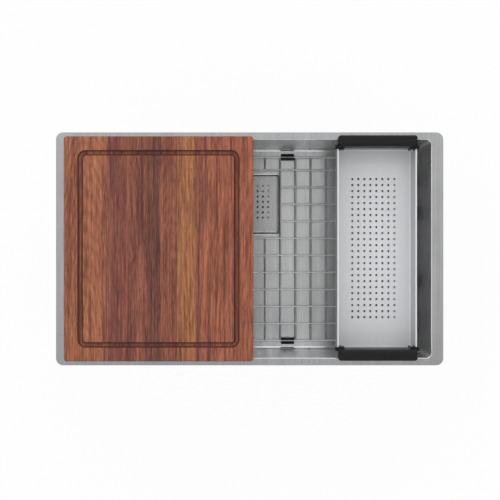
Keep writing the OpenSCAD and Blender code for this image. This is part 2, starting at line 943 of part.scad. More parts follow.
bowl();
pad_bottom(-1);  // pad_bottom_left
pad_bottom(1);  // pad_bottom_right
pad_end(-1);  // pad_front
pad_end(1);  // pad_rear
pad_side(-1);  // pad_left
pad_side(1);  // pad_right
strainer_body();
sealing_ring();
rubber_washer();
friction_ring();
lock_nut();
tailpiece_washer();
coupling_nut();
tailpiece();
basket_cup();
basket_post();
basket_stopper();
cover_plate();
cover_feet();
grid_frame();
grid_long_wires();
grid_cross_wires();
grid_legs();
grid_feet();
bumpers_end(-1);  // bumpers_front
bumpers_end(1);  // bumpers_rear
bumpers_sides();
colander_tray();
handle(1);  // colander_handle_rear
handle(-1);  // colander_handle_front
colander_screws();
cutting_board();
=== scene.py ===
"""Dresses the kitchen sink: steel, wires and welds, rubber, moulded handles, board and studio."""

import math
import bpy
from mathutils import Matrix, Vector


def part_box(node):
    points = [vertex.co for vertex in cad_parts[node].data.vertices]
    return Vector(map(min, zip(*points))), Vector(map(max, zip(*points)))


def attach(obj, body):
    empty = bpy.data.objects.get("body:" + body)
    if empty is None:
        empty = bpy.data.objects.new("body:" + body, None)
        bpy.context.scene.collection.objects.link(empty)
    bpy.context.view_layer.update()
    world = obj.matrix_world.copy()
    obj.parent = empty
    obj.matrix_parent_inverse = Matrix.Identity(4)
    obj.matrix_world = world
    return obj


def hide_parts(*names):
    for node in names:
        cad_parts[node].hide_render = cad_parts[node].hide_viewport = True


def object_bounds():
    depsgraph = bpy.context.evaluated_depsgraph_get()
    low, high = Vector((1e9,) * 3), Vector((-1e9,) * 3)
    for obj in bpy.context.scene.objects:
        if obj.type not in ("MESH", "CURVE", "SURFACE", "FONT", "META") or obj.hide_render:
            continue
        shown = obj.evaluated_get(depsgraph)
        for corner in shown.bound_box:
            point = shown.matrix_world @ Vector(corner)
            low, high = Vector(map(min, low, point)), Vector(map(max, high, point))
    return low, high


bl_info = {
    "name": "Workstation Kitchen Sink",
    "version": (1, 0, 0),
    "blender": (4, 5, 0),
    "location": "View3D > Sidebar > Sink",
    "description": "Builds the finishes and fine pieces of a kitchen sink, with its studio",
    "category": "Object",
}

import bmesh
import bpy
from bpy.props import FloatProperty, FloatVectorProperty, IntProperty, PointerProperty
from mathutils import Matrix, Vector

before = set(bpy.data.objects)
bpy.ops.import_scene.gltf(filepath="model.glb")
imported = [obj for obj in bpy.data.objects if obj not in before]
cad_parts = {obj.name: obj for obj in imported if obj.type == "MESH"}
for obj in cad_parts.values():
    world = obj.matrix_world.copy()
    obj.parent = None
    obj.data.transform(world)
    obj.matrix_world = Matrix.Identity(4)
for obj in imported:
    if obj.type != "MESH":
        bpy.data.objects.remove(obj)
CAD_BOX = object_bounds()

MM = 0.001


# ---------------- sizes taken from the model


def extent(node):
    """Return a node's middle and its size along each axis."""
    low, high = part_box(node)
    return (low + high) / 2, high - low


BOARD_LOW, BOARD_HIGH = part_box("cutting_board")
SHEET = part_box("bowl")[1].z
# Middle of the sheet in the bowl's walls and floor
WALL_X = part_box("pad_right")[0].x - SHEET / 2
WALL_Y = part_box("pad_rear")[0].y - SHEET / 2
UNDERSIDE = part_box("pad_bottom_left")[1].z + SHEET / 2
# Thickness of the grid's wires and of its rim
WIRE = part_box("grid_long_wires")[1].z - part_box("grid_long_wires")[0].z
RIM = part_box("grid_frame")[1].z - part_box("grid_frame")[0].z

# ---------------- sizes of the fine pieces

# The strainer's shank, the thread on it and the gap from the lock nut to the thread
SHANK_R = 44 * MM
THREAD_LENGTH = 20 * MM
THREAD_GAP = 0.5 * MM
# A bumper's length over its diameter, the lean of its ends on the inner side, and its sides
BUMPER_LONG = 29.5 / 13
BUMPER_LEAN = 0.18
BUMPER_STEPS = 40
# How far the weld of a wire's end lies in from that end
END_WELD = 0.4 * MM
# Corners of a node's mesh that lie nearer than this are one corner
MERGE = 2e-6
# A piece's edge is sharp where its faces turn more than this
SHARP = math.radians(32)
BUMPER_SHARP = math.radians(50)
# Half the width of the studio's floor, in metres
FLOOR_HALF = 12


# ---------------- settings


def linear(code):
    """Turn an sRGB hex colour into the linear red, green and blue that a socket takes."""
    parts = [int(code[i:i + 2], 16) / 255 for i in (0, 2, 4)]
    return tuple(p / 12.92 if p <= 0.04045 else ((p + 0.055) / 1.055) ** 2.4 for p in parts)


def shade(name, code, note):
    """A colour that a user may change, kept linear."""
    return FloatVectorProperty(
        name=name, description=note, default=linear(code), subtype="COLOR", min=0, max=1
    )


def length(name, size, note, least=0.0):
    """A length that a user may change, given in millimetres."""
    return FloatProperty(
        name=name, description=note, default=size * MM, min=least * MM, unit="LENGTH"
    )


def brightness(name, default, note):
    """The brightness of a lamp that a user may change."""
    return FloatProperty(
        name=name, description="Brightness of the " + note, default=default, min=0
    )


class SinkColours(bpy.types.PropertyGroup):
    """Colours of the finishes."""

    sheet: shade("Sheet", "CECFD0", "Brushed stainless sheet of the bowl and flange")
    tray: shade("Tray", "EEF0F2", "Satin stainless sheet of the colander")
    cover: shade("Drain cover", "D6D8D7", "Satin stainless sheet of the drain cover")
    polished: shade("Polished steel", "C4C5C6", "Strainer and basket")
    wire: shade("Wire", "EAEBEC", "Electropolished wire of the grid")
    tube: shade("Tube", "C2C6CA", "Chromed tailpiece")
    casting: shade("Casting", "BDBAB2", "Plated zinc nuts")
    rubber: shade("Rubber", "18181A", "Bumpers, feet, washers and stopper")
    pad: shade("Pad", "46484B", "Sound pads on the bowl")
    nylon: shade("Nylon", "161617", "Moulded handles of the colander")
    fibre: shade("Fibre", "A88B63", "Pressed fibre ring under the nut")
    washer: shade("Washer", "E4E2DA", "White washer of the tailpiece")


class SinkSizes(bpy.types.PropertyGroup):
    """Sizes of the fine pieces."""

    weld_w: length("Weld width", 4.9, "Width of a weld where two wires cross")
    weld_h: length("Weld height", 2.6, "Height of a weld where two wires cross")
    wire_sides: IntProperty(
        name="Wire sides", description="Sides round a wire", default=20, min=8, max=48
    )
    bumper_slot: length("Bumper slot", 4.2, "Width of the slot along a bumper")
    bumper_bulge: FloatProperty(
        name="Bumper bulge", description="How much fuller a bumper is towards the wall",
        default=1.25, min=1,
    )
    bumper_edge: length("Bumper edge", 0.9, "Radius of a bumper's moulded edges")
    rubber_edge: length("Rubber edge", 0.5, "Radius of the moulded edges of pads and washers")
    nylon_edge: length("Handle edge", 0.4, "Radius of the moulded edges of the handles")
    nut_edge: length("Nut edge", 0.6, "Radius of the cast edges of the nuts")
    thread_pitch: length("Thread pitch", 2.3, "Rise of the strainer's thread in one turn", 0.5)
    thread_h: length("Thread height", 0.6, "How far the thread stands out from the shank")


class StudioSettings(bpy.types.PropertyGroup):
    """Camera and light."""

    camera_at: FloatVectorProperty(
        name="Camera", description="Place of the camera, straight over the sink",
        default=(0.0007, -0.0024, 2.7895), subtype="TRANSLATION", unit="LENGTH",
    )
    lens: FloatProperty(
        name="Lens", description="Focal length on a 36 mm frame", default=95.63, min=20
    )
    overhead: brightness("Overhead", 0.26, "softbox above the sink")
    rear: brightness("Rear", 1.05, "softbox behind the sink")
    front: brightness("Front", 0.72, "softbox before the sink")
    left: brightness("Left", 1.0, "softbox on the left")
    right: brightness("Right", 0.8, "softbox on the right")
    low: brightness("Low", 1.0, "strip near the horizon")


# ---------------- node trees


def add(tree, kind, inputs=None, stops=None, **settings):
    """Add a node, set its properties and ramp stops, and set or link its inputs.

    Inputs with like names go by number. Map Range takes its value in 0, the range that it
    reads in 1 and 2, and the range that it gives in 3 and 4. Mix takes its factor in 0, two
    numbers in 2 and 3, and two colours in 6 and 7.
    """
    made = tree.nodes.new(kind)
    for name, value in settings.items():
        setattr(made, name, value)
    if stops:
        ramp = made.color_ramp.elements
        while len(ramp) < len(stops):
            ramp.new(1)
        for element, (place, colour) in zip(ramp, stops):
            element.position = place
            element.color = (*colour[:3], 1)
    for key, value in (inputs or {}).items():
        if isinstance(value, bpy.types.Node):
            value = next(o for o in value.outputs if o.enabled)
        if isinstance(value, bpy.types.NodeSocket):
            tree.links.new(value, made.inputs[key])
        else:
            made.inputs[key].default_value = value
    return made


def colour4(colour, factor=1):
    """Give a colour its fourth number, and make it darker or lighter by a factor."""
    return tuple(min(c * factor, 1) for c in colour) + (1,)


def greys(*stops):
    """Ramp stops given as places and greys."""
    return [(place, (grey,) * 3) for place, grey in stops]


def emptied(owner):
    """Return the node tree of a material or a world, with nothing in it."""
    owner.use_nodes = True
    owner.node_tree.nodes.clear()
    return owner.node_tree


def start_finish(name):
    """Start a material; return it with its tree, its Object coordinates and its normal.

    Object coordinates are in metres, so the scale of a pattern is how many of its cells lie in
    a metre: 1 / MM makes them a millimetre wide.
    """
    made = bpy.data.materials.new(name)
    tree = emptied(made)
    where = add(tree, "ShaderNodeTexCoord").outputs
    return made, tree, where["Object"], where["Normal"]


def end_finish(made, looks, height, depth, strength=1.0):
    """End a finish: bump its surface by a height, of this depth in metres, and shade it."""
    tree = made.node_tree
    bump = add(tree, "ShaderNodeBump", {
        "Height": height, "Distance": depth, "Strength": strength,
    })
    shader = add(tree, "ShaderNodeBsdfPrincipled", {**looks, "Normal": bump})
    add(tree, "ShaderNodeOutputMaterial", {"Surface": shader})
    return made


def two_toned(tree, tone, colour, factors, rough, start=0.3, end=0.7):
    """Spread a tone over a darker and a lighter colour, from start to end, and over roughness."""
    share = add(tree, "ShaderNodeMapRange", {0: tone, 1: start, 2: end})
    dark, light = (colour4(colour, factor) for factor in factors)
    return {
        "Base Color": add(tree, "ShaderNodeMix", {0: share, 6: dark, 7: light}, data_type="RGBA"),
        "Roughness": add(tree, "ShaderNodeMapRange", {
            0: tone, 1: 0.3, 2: 0.7, 3: rough[0], 4: rough[1],
        }),
    }


def streaks(tree, place, across, along, detail=2.0, bend=0.0):
    """Noise in streaks along Y: across and along are their sizes in metres."""
    drawn = add(tree, "ShaderNodeMapping", {
        "Vector": place, "Scale": (1 / across, 1 / along, 1 / across),
    })
    return add(tree, "ShaderNodeTexNoise", {
        "Vector": drawn, "Scale": 1.0, "Detail": detail, "Distortion": bend,
    })


def all_of(tree, first, *others):
    """A mask that is one only where each of these masks is one."""
    for mask in others:
        first = add(tree, "ShaderNodeMath", {0: first, 1: mask}, operation="MULTIPLY")
    return first


def finish(name, make, *facts, **more):
    """Return a finish by its name, made the first time that it is asked for."""
    return bpy.data.materials.get(name) or make(name, *facts, **more)


# ---------------- steel


def brushed_sheet(name, colour, rough, wall_rough, metal, wall_tone, contrast, end_tone=1.0,
                  floor_tone=1.0, corner_dull=0.0, grain=0.9 * MM, depth=0.03 * MM):
    """Stainless sheet, brushed with a belt before it was folded.

    The eye sees a satin grey with fine lines along Y that go on up the front and rear walls,
    and slow changes of tone where hands and the belt have passed. Its walls are rolled
    smoother, so they mirror the foot below them. Its foot, the lips at its ends and its corners
    carry a painted highlight. The real grain is about 0.1 mm wide and is drawn coarser, so that
    it shows.

    The wall, floor and end settings are painted light and shade: over 1 they make the walls,
    the front and rear walls or the deep floor lighter than the flange, under 1 darker.
    The corner setting is how much less of a metal the corners are, so that their painted
    highlight shows as a lit pale colour.
    """
    made, tree, place, normal = start_finish(name)
    x, y, z = add(tree, "ShaderNodeSeparateXYZ", {"Vector": place}).outputs
    across_x, across_y, flat = (
        add(tree, "ShaderNodeMath", {0: part}, operation="ABSOLUTE")
        for part in add(tree, "ShaderNodeSeparateXYZ", {"Vector": normal}).outputs
    )

    # On the front and rear walls the brush lines run up, so height is drawn out there
    along = 90 * MM
    end_wall = add(tree, "ShaderNodeMath", {0: across_y, 1: 0.7}, operation="GREATER_THAN")
    rise = add(tree, "ShaderNodeMapRange", {0: end_wall, 3: 1.0, 4: grain / along})
    height = add(tree, "ShaderNodeMath", {0: z, 1: rise}, operation="MULTIPLY")
    folded = add(tree, "ShaderNodeCombineXYZ", {"X": x, "Y": y, "Z": height})
    lines = streaks(tree, folded, grain, along, 3.0)
    bands = streaks(tree, folded, 14 * MM, 900 * MM, 1.0)
    clouds = add(tree, "ShaderNodeTexNoise", {"Vector": place, "Scale": 11.0, "Detail": 3.0})
    tone = 0.0
    for pattern, share in ((lines, 0.45), (bands, 0.25), (clouds, 0.3)):
        tone = add(tree, "ShaderNodeMath", {
            0: pattern, 1: share, 2: tone,
        }, operation="MULTIPLY_ADD")
    mixed = add(tree, "ShaderNodeMix", {
        0: add(tree, "ShaderNodeMapRange", {0: tone, 1: 0.36, 2: 0.64}),
        6: colour4(colour, 1 - contrast), 7: colour4(colour, 1 + contrast),
    }, data_type="RGBA")
    # Painted light and shade: the walls, the deep floor and the faces towards front and rear are
    # made lighter or darker than the flange
    deep_tone = add(tree, "ShaderNodeMapRange", {
        0: z, 1: -250 * MM, 2: -100 * MM, 3: floor_tone, 4: 1.0,
    })
    tint = add(tree, "ShaderNodeMath", {
        0: add(tree, "ShaderNodeMapRange", {0: flat, 1: 0.3, 2: 0.9, 3: wall_tone, 4: deep_tone}),
        1: add(tree, "ShaderNodeMapRange", {0: across_y, 1: 0.1, 2: 0.5, 3: 1.0, 4: end_tone}),
    }, operation="MULTIPLY")
    shaded = add(tree, "ShaderNodeVectorMath", {0: mixed, "Scale": tint}, operation="SCALE")

    # The sheet's outer side, under the flange and round the bowl, has the mill's darker skin
    inner = all_of(
        tree,
        add(tree, "ShaderNodeMath", {0: x, 1: 0.0, 2: WALL_X}, operation="COMPARE"),
        add(tree, "ShaderNodeMath", {0: y, 1: 0.0, 2: WALL_Y}, operation="COMPARE"),
        add(tree, "ShaderNodeMath", {0: z, 1: UNDERSIDE}, operation="GREATER_THAN"),
    )
    upper = add(tree, "ShaderNodeMath", {0: z, 1: SHEET / 2}, operation="GREATER_THAN")
    inner = add(tree, "ShaderNodeMath", {0: inner, 1: upper}, operation="MAXIMUM")
    skin = add(tree, "ShaderNodeMapRange", {0: inner, 3: 0.72, 4: 1.0})
    shaded = add(tree, "ShaderNodeVectorMath", {0: shaded, "Scale": skin}, operation="SCALE")

    # The foot, the lips at both ends and the corners get a painted highlight, a near-white colour
    off_flat = add(tree, "ShaderNodeMapRange", {0: flat, 1: 0.93, 2: 0.99, 3: 1.0, 4: 0.0})
    slope = all_of(tree, add(tree, "ShaderNodeMapRange", {0: flat, 1: 0.01, 2: 0.06}), off_flat)
    low = add(tree, "ShaderNodeMath", {0: z, 1: -200 * MM}, operation="LESS_THAN")
    foot = all_of(tree, slope, all_of(tree, low, inner))
    lip = all_of(
        tree, add(tree, "ShaderNodeMapRange", {0: z, 1: -4 * MM, 2: -3 * MM}),
        add(tree, "ShaderNodeMapRange", {0: across_x, 1: 0.08, 2: 0.3}), inner,
    )
    corner = all_of(tree, across_x, across_y)
    corner = all_of(tree, add(tree, "ShaderNodeMapRange", {0: corner, 1: 0.3, 2: 0.46}), inner)
    fold = foot
    for part in (lip, corner):
        fold = add(tree, "ShaderNodeMath", {0: fold, 1: part}, operation="MAXIMUM")
    # Painted highlight: a near-white colour laid over the sheet where the mask is one
    buffed = add(tree, "ShaderNodeMix", {
        0: fold, 6: shaded, 7: colour4(linear("F8F8F8")),
    }, data_type="RGBA")

    # The buffing wheel has left the lowest part of the foot almost a mirror
    gloss = add(tree, "ShaderNodeMath", {
        0: add(tree, "ShaderNodeMapRange", {0: flat, 1: 0.3, 2: 0.9, 3: wall_rough, 4: rough}),
        1: add(tree, "ShaderNodeMapRange", {0: tone, 1: 0.36, 2: 0.64, 3: 0.04, 4: -0.04}),
    }, operation="ADD")
    wheel = all_of(tree, off_flat, add(tree, "ShaderNodeMapRange", {
        0: z, 1: -240 * MM, 2: -225 * MM, 3: 1.0, 4: 0.0,
    }))
    return end_finish(made, {
        "Base Color": buffed,
        # Less metal at the corners, so that their painted highlight shows as a lit pale colour
        "Metallic": add(tree, "ShaderNodeMapRange", {0: corner, 3: metal, 4: metal - corner_dull}),
        "Roughness": add(tree, "ShaderNodeMix", {0: wheel, 2: gloss, 3: 0.08}, data_type="FLOAT"),
    }, lines, depth)


def drawn_wire(name, colour):
    """Stainless wire, drawn and electropolished.

    The eye sees a bright rod with a soft gleam along it, a little uneven where the bath ate.
    """
    made, tree, place, _ = start_finish(name)
    pits = add(tree, "ShaderNodeTexNoise", {"Vector": place, "Scale": 420.0, "Detail": 2.0})
    clouds = add(tree, "ShaderNodeTexNoise", {"Vector": place, "Scale": 22.0, "Detail": 2.0})
    looks = two_toned(tree, clouds, colour, (0.86, 1.06), (0.39, 0.48))
    return end_finish(made, {**looks, "Metallic": 1.0}, pits, 0.02 * MM, 0.5)


def turned_steel(name, colour):
    """Pressed or turned stainless steel, buffed round its axis.

    The eye sees a clear reflection with faint rings round the drain's axis and small scuffs.
    """
    made, tree, place, _ = start_finish(name)
    axis = extent("strainer_body")[0]
    centred = add(tree, "ShaderNodeMapping", {
        "Vector": place, "Location": (-axis.x, -axis.y, 0.0),
    })
    flat = add(tree, "ShaderNodeVectorMath", {0: centred, 1: (1.0, 1.0, 0.0)}, operation="MULTIPLY")
    radius = add(tree, "ShaderNodeVectorMath", {0: flat}, operation="LENGTH")
    level = add(tree, "ShaderNodeSeparateXYZ", {"Vector": centred}).outputs["Z"]
    ringed = add(tree, "ShaderNodeCombineXYZ", {"X": radius, "Z": level})
    rings = add(tree, "ShaderNodeTexNoise", {"Vector": ringed, "Scale": 900.0, "Detail": 2.0})
    scuffs = add(tree, "ShaderNodeTexNoise", {"Vector": place, "Scale": 70.0, "Detail": 4.0})
    looks = two_toned(tree, scuffs, colour, (0.9, 1.05), (0.37, 0.47))
    return end_finish(made, {**looks, "Metallic": 1.0}, rings, 0.015 * MM, 0.6)


def chromed_tube(name, colour):
    """Brass tube, chromed.

    The eye sees a mirror with a thin film on it and the dull marks of dried drops.
    """
    made, tree, place, _ = start_finish(name)
    drops = add(tree, "ShaderNodeTexVoronoi", {"Vector": place, "Scale": 260.0})
    film = add(tree, "ShaderNodeTexNoise", {"Vector": place, "Scale": 35.0, "Detail": 4.0})
    dried = all_of(
        tree, add(tree, "ShaderNodeMapRange", {0: drops, 1: 0.25, 2: 0.32, 3: 1.0, 4: 0.0}),
        add(tree, "ShaderNodeMapRange", {0: film, 1: 0.5, 2: 0.62}),
    )
    return end_finish(made, {
        "Base Color": add(tree, "ShaderNodeMix", {
            0: dried, 6: colour4(colour), 7: colour4(colour, 0.82),
        }, data_type="RGBA"),
        "Metallic": 1.0,
        "Roughness": add(tree, "ShaderNodeMapRange", {0: dried, 3: 0.07, 4: 0.22}),
    }, film, 0.03 * MM, 0.4)


def plated_casting(name, colour):
    """Zinc die casting, plated dull.

    The eye sees a soft grey metal with the fine orange peel of the mould, stained in places.
    """
    made, tree, place, _ = start_finish(name)
    peel = add(tree, "ShaderNodeTexNoise", {"Vector": place, "Scale": 650.0, "Detail": 3.0})
    stain = add(tree, "ShaderNodeTexNoise", {"Vector": place, "Scale": 45.0, "Detail": 4.0})
    looks = two_toned(tree, stain, colour, (0.74, 1.04), (0.48, 0.32))
    return end_finish(made, {**looks, "Metallic": 1.0}, peel, 0.08 * MM, 0.8)


# ---------------- rubber, plastic, fibre


def moulded(name, colour, rough, grit, depth, dust=0.25, bright=1.5, mirror=0.35):
    """A moulded rubber or plastic with the fine grain of its mould.

    The eye sees a dark even body, a soft gleam broken by the grain, and a little dust or
    bloom in patches. grit is the size of the grain and depth its height, in metres.
    """
    made, tree, place, _ = start_finish(name)
    grains = add(tree, "ShaderNodeTexVoronoi", {"Vector": place, "Scale": 1 / grit})
    bloom = add(tree, "ShaderNodeTexNoise", {"Vector": place, "Scale": 28.0, "Detail": 5.0})
    dusty = add(tree, "ShaderNodeMix", {
        0: add(tree, "ShaderNodeMapRange", {0: bloom, 1: 0.42, 2: 0.68, 3: 0.0, 4: dust}),
        6: colour4(colour), 7: colour4(colour, bright),
    }, data_type="RGBA")
    return end_finish(made, {
        "Base Color": add(tree, "ShaderNodeMix", {
            0: add(tree, "ShaderNodeMapRange", {0: grains, 1: 0.1, 2: 0.7, 3: 0.0, 4: 0.22}),
            6: dusty, 7: colour4(colour, 0.6),
        }, data_type="RGBA"),
        "Roughness": add(tree, "ShaderNodeMapRange", {
            0: bloom, 1: 0.3, 2: 0.7, 3: rough - 0.05, 4: rough + 0.12,
        }),
        "Specular IOR Level": mirror,
    }, grains, depth, 0.7)


def pressed_fibre(name, colour):
    """Vulcanised fibre, pressed and cut.

    The eye sees a dry tan board with short matted fibres.
    """
    made, tree, place, _ = start_finish(name)
    mat = streaks(tree, place, 0.8 * MM, 5 * MM, 4.0)
    looks = two_toned(tree, mat, colour, (0.72, 1.12), (0.92, 0.78), 0.35, 0.65)
    return end_finish(made, looks, mat, 0.12 * MM, 0.8)


# ---------------- wood

# Staves of the board from left to right: right edge and heart in mm from the board's left
# edge, depth of the heart under the top in mm, its slope, and the wood's darker and lighter hue
STAVES = (
    (90, 48, 40, 0.15, "744130", "C07A56"),
    (131, 60, 62, 0.03, "603330", "A8634D"),
    (175, 120, 46, 0.06, "5C2F2B", "A4654E"),
    (199, 260, 80, 0.03, "4D2C26", "965D4C"),
    (234, 226, 26, 0.18, "66362A", "A9674E"),
    (271, 200, 70, 0.045, "7C4730", "C38354"),
    (283, 330, 50, 0.06, "68372E", "AC674A"),
    (330, 350, 52, 0.09, "783F30", "C57956"),
    (364, 290, 75, 0.03, "743C30", "BA7052"),
    (394, 410, 44, 0.09, "773F31", "BA714F"),
)
# A ramp holds numbers from 0 to 1, so depths and slopes are kept in it as parts of these
DEEPEST = 100
STEEPEST = 0.3
# How far apart the year rings are, how far the staves' joints stray, and the groove's sizes
RING = 5.2 * MM
STRAY = 9 * MM
GROOVE_DEPTH = 5 * MM
GROOVE_MARGIN = 18 * MM


def staved_hardwood(name):
    """Reddish hardwood staves, edge-glued, sanded and oiled.

    The eye sees planks of different hue with straight grain along Y, arches where a plank was
    cut near its heart, short dark pores, and a dull sheen. The juice groove is darkened with
    painted shade.
    The rings are drawn about 5 mm apart and the pores 0.6 mm wide, so that they show.
    """
    made, tree, place, normal = start_finish(name)
    x, y, z = add(tree, "ShaderNodeSeparateXYZ", {"Vector": place}).outputs
    at_x = add(tree, "ShaderNodeMath", {
        0: streaks(tree, place, 1.6 * MM, 90 * MM), 1: STRAY, 2: x,
    }, operation="MULTIPLY_ADD")
    along_x = add(tree, "ShaderNodeMapRange", {
        0: at_x, 1: BOARD_LOW.x + STRAY / 2, 2: BOARD_HIGH.x + STRAY / 2,
    })
    span = STAVES[-1][0]
    starts = [0.0] + [row[0] / span for row in STAVES[:-1]]
    rows = [
        (linear(dark), linear(light), (heart / span, deep / DEEPEST, slope / STEEPEST))
        for _, heart, deep, slope, dark, light in STAVES
    ]
    darker, lighter, hearts = (
        add(tree, "ShaderNodeValToRGB", {"Fac": along_x}, stops=list(zip(starts, column)))
        for column in zip(*rows)
    )
    for ramp in (darker, lighter, hearts):
        ramp.color_ramp.interpolation = "CONSTANT"
    heart, deep, slope = add(tree, "ShaderNodeSeparateColor", {"Color": hearts}).outputs

    # Each stave's grain wanders by itself, because its heart's place shifts the noise
    shift = add(tree, "ShaderNodeMath", {0: deep, 1: 7.0, 2: heart}, operation="MULTIPLY_ADD")
    own = add(tree, "ShaderNodeCombineXYZ", {"X": 0.0, "Y": shift, "Z": shift})
    moved = add(tree, "ShaderNodeVectorMath", {0: place, 1: own}, operation="ADD")
    wander = streaks(tree, moved, 22 * MM, 150 * MM)

    # Distance from the stave's heart, a line along Y that sinks to the rear
    heart_x = add(tree, "ShaderNodeMapRange", {0: heart, 3: BOARD_LOW.x, 4: BOARD_HIGH.x})
    off_x = add(tree, "ShaderNodeMath", {0: x, 1: heart_x}, operation="SUBTRACT")
    sink = add(tree, "ShaderNodeMath", {0: slope, 1: y}, operation="MULTIPLY")
    depth = -BOARD_HIGH.z
    for part, most in ((deep, DEEPEST * MM), (sink, STEEPEST)):
        depth = add(tree, "ShaderNodeMath", {
            0: part, 1: most, 2: depth,
        }, operation="MULTIPLY_ADD")
    off_z = add(tree, "ShaderNodeMath", {0: z, 1: depth}, operation="ADD")
    radial = add(tree, "ShaderNodeCombineXYZ", {"X": off_x, "Y": 0.0, "Z": off_z})
    away = add(tree, "ShaderNodeVectorMath", {0: radial}, operation="LENGTH")
    bent = add(tree, "ShaderNodeMath", {0: wander, 1: 0.011, 2: away}, operation="MULTIPLY_ADD")
    count = add(tree, "ShaderNodeMath", {0: bent, 1: 1 / RING}, operation="MULTIPLY")
    year = add(tree, "ShaderNodeMath", {0: count}, operation="FRACT")
    late = add(tree, "ShaderNodeValToRGB", {"Fac": year}, stops=greys(
        (0.0, 0.8), (0.2, 0.3), (0.55, 0), (0.88, 0.5), (1.0, 0.8)
    ))

    # The tone goes from the stave's darker hue to its lighter one
    fine = streaks(tree, moved, 3.6 * MM, 210 * MM, 3.0)
    broad = streaks(tree, moved, 20 * MM, 330 * MM)
    flames = streaks(tree, moved, 5.5 * MM, 60 * MM, 4.0, bend=1.1)
    hairs = streaks(tree, moved, 1.1 * MM, 24 * MM)
    tone = add(tree, "ShaderNodeMapRange", {0: broad, 1: 0.35, 2: 0.65, 3: 0.0, 4: 0.25})
    for pattern, start, end, low, high, share in (
        (fine, 0.34, 0.66, 0.0, 1.0, 0.35), (flames, 0.36, 0.64, 0.0, 1.0, 0.27),
        (hairs, 0.34, 0.66, -0.5, 0.5, 0.35),
    ):
        tone = add(tree, "ShaderNodeMath", {
            0: add(tree, "ShaderNodeMapRange", {0: pattern, 1: start, 2: end, 3: low, 4: high}),
            1: share, 2: tone,
        }, operation="MULTIPLY_ADD")
    tone = add(tree, "ShaderNodeMapRange", {0: tone, 1: 0.13, 2: 0.83})
    look = add(tree, "ShaderNodeMix", {0: tone, 6: darker, 7: lighter}, data_type="RGBA")
    veins = streaks(tree, moved, 6.5 * MM, 380 * MM)
    pores = streaks(tree, moved, 0.6 * MM, 11 * MM, 1.0)
    pore = add(tree, "ShaderNodeMapRange", {0: pores, 1: 0.6, 2: 0.7})

    # Cut across the fibres, at the front and rear ends, the wood drinks more oil
    facing = add(tree, "ShaderNodeSeparateXYZ", {"Vector": normal}).outputs["Y"]
    end = add(tree, "ShaderNodeMath", {0: facing}, operation="ABSOLUTE")
    wet = add(tree, "ShaderNodeMapRange", {0: end, 1: 0.35, 2: 0.95, 3: 0.0, 4: 0.45})

    # Painted shade in the juice groove: darkest on its walls just under the top, lighter towards
    # its bottom
    sunk = add(tree, "ShaderNodeMath", {0: BOARD_HIGH.z, 1: z}, operation="SUBTRACT")
    burnt = add(tree, "ShaderNodeValToRGB", {
        "Fac": add(tree, "ShaderNodeMapRange", {0: sunk, 1: 0.0, 2: GROOVE_DEPTH}),
    }, stops=greys((0.0, 0), (0.05, 1), (0.65, 0.8), (0.95, 0.25)))
    reach_x = (BOARD_HIGH.x - BOARD_LOW.x) / 2 - GROOVE_MARGIN
    reach_y = BOARD_HIGH.y - GROOVE_MARGIN
    inner = all_of(
        tree,
        add(tree, "ShaderNodeMath", {
            0: x, 1: (BOARD_LOW.x + BOARD_HIGH.x) / 2, 2: reach_x,
        }, operation="COMPARE"),
        add(tree, "ShaderNodeMath", {0: y, 1: 0.0, 2: reach_y}, operation="COMPARE"),
        add(tree, "ShaderNodeMath", {0: sunk, 1: GROOVE_DEPTH + MM}, operation="LESS_THAN"),
    )
    burnt = all_of(tree, burnt, inner)

    # Late wood, dark veins, pores, and the oily end wood together with the groove's painted shade
    # lie over the stave's own hue, in this order
    for share, code in (
        (add(tree, "ShaderNodeMath", {0: late, 1: 0.4}, operation="MULTIPLY"), "55291F"),
        (add(tree, "ShaderNodeMapRange", {0: veins, 1: 0.58, 2: 0.7, 3: 0.0, 4: 0.6}), "3E2426"),
        (add(tree, "ShaderNodeMath", {0: pore, 1: 0.5}, operation="MULTIPLY"), "38201A"),
        (add(tree, "ShaderNodeMath", {0: wet, 1: burnt}, operation="MAXIMUM"), "42201B"),
    ):
        look = add(tree, "ShaderNodeMix", {
            0: share, 6: look, 7: colour4(linear(code)),
        }, data_type="RGBA")
    hollows = add(tree, "ShaderNodeMath", {0: pore, 1: -1.0, 2: 1.0}, operation="MULTIPLY_ADD")
    return end_finish(made, {
        "Base Color": look,
        "Roughness": add(tree, "ShaderNodeMapRange", {0: fine, 1: 0.3, 2: 0.7, 3: 0.62, 4: 0.48}),
        "Specular IOR Level": 0.3,
    }, hollows, 0.12 * MM, 0.6)


# ---------------- meshes


def keep(name, mesh, body, material, nodes=()):
    """Make a finished piece of a mesh: its body, its finish and what it replaces."""
    piece = bpy.data.objects.new(name, mesh)
    bpy.context.scene.collection.objects.link(piece)
    mesh.materials.clear()
    mesh.materials.append(material)
    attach(piece, body)
    if nodes:
        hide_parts(*nodes)


def dress(material, *nodes):
    """Give CAD nodes a finish, in their objects' own slots."""
    for node in nodes:
        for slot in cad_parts[node].material_slots:
            slot.material = material


def applied(holder):
    """Turn what an object's modifiers make into a plain mesh, and drop the object."""
    graph = bpy.context.evaluated_depsgraph_get()
    mesh = bpy.data.meshes.new_from_object(holder.evaluated_get(graph))
    bpy.data.objects.remove(holder)
    return mesh


def holder_of(mesh, name="workpiece"):
    """Put a mesh in an object."""
    made = bpy.data.objects.new(name, mesh)
    bpy.context.scene.collection.objects.link(made)
    return made


def rounded(form, name, edge, **limit):
    """Turn a form into a smooth mesh with its edges rounded to this radius, within a limit."""
    for face in form.faces:
        face.smooth = True
    mesh = bpy.data.meshes.new(name)
    form.to_mesh(mesh)
    form.free()
    work = holder_of(mesh)
    bevel = work.modifiers.new("Edge", "BEVEL")
    bevel.width = edge
    bevel.segments = 3
    bevel.use_clamp_overlap = False
    bevel.harden_normals = True
    for key, value in limit.items():
        setattr(bevel, key, value)
    return applied(work)


